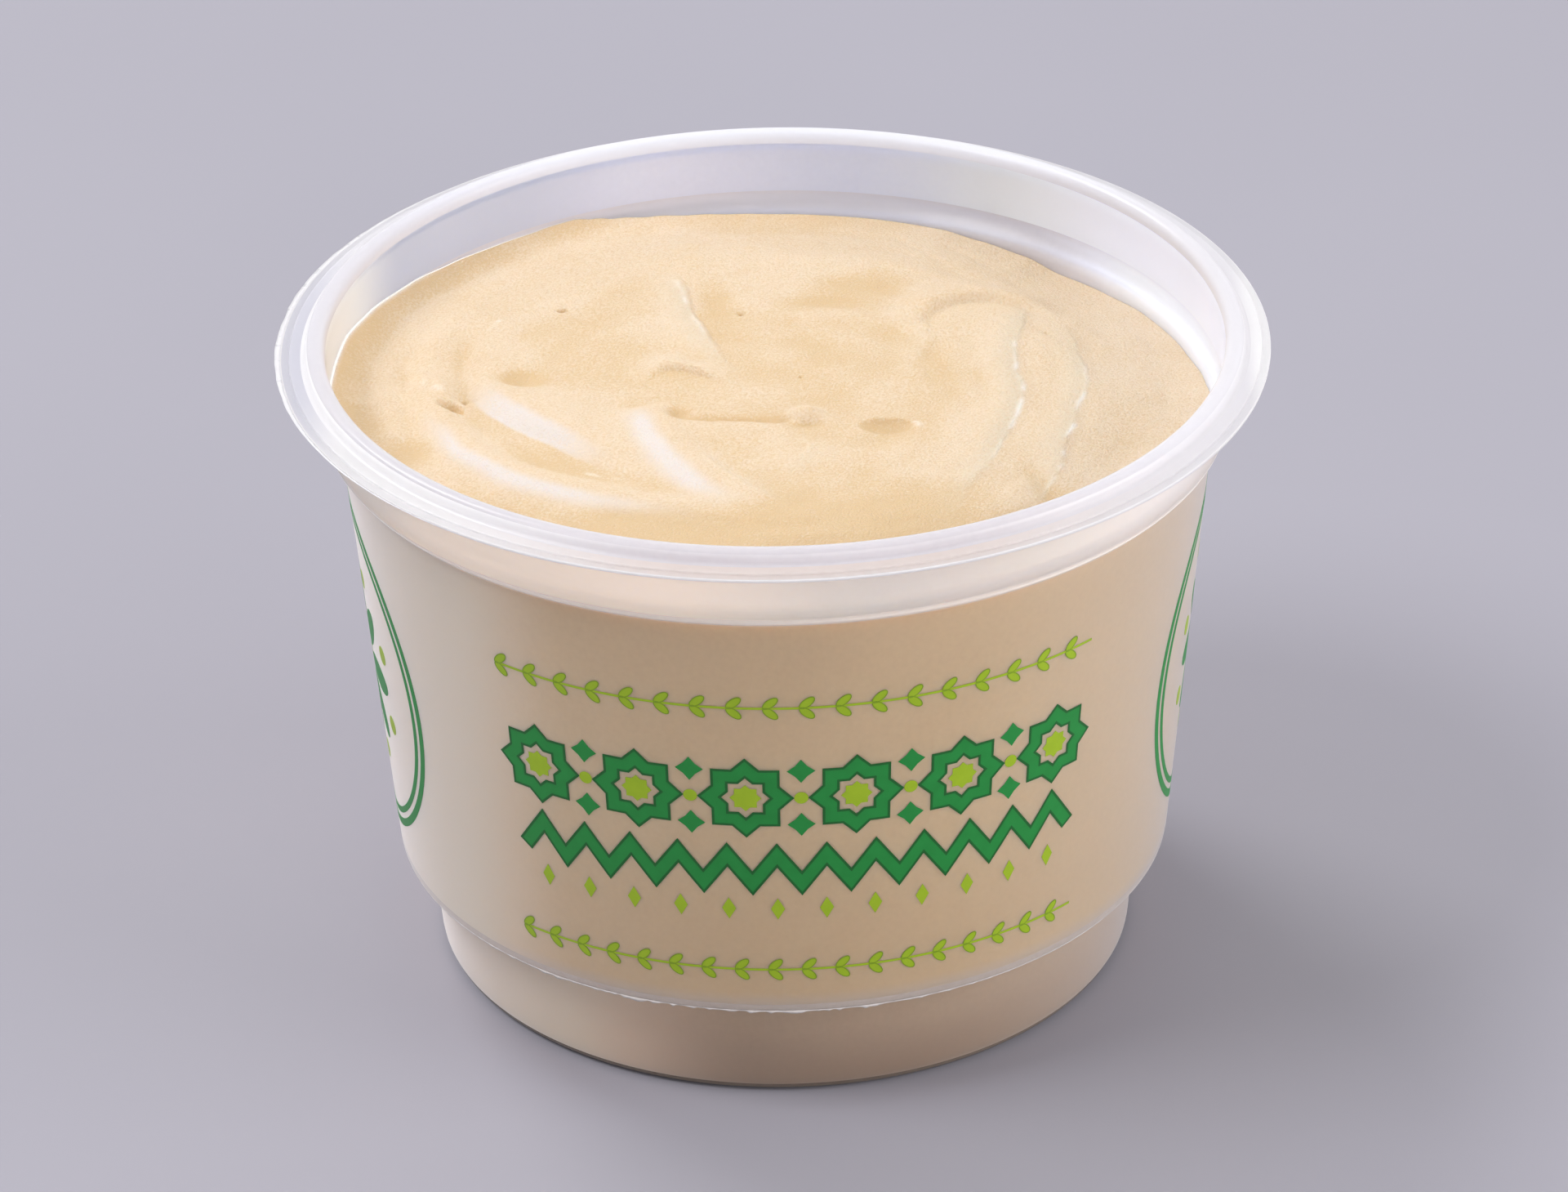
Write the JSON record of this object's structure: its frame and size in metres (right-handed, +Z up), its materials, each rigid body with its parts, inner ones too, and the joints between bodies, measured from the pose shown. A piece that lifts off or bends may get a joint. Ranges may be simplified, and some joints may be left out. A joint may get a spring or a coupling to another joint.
{
  "type": "tub of hummus",
  "caption": "Smooth swirled hummus in a round tapered translucent deli tub with a flanged rim, an inset foot and a printed front, without its lid.",
  "frame": {"origin": "centre of the underside of the tub's foot, on the surface it stands on", "axes": "+Z up along the tub's axis, +Y towards the back, -Y the printed front, +X to the right seen from the front"},
  "size_m": [0.1176, 0.1176, 0.0795],
  "materials": {
    "tub_plastic": "natural milky polypropylene, softly glossy and translucent",
    "hummus": "smooth cream-coloured dip with a soft moist sheen",
    "ink_green": "dark green printing ink on the outside of the tub",
    "ink_lime": "lime green printing ink on the outside of the tub"
  },
  "bodies": {
    "root": {"tub": "tub_plastic", "hummus": "hummus"}
  },
  "joints": []
}
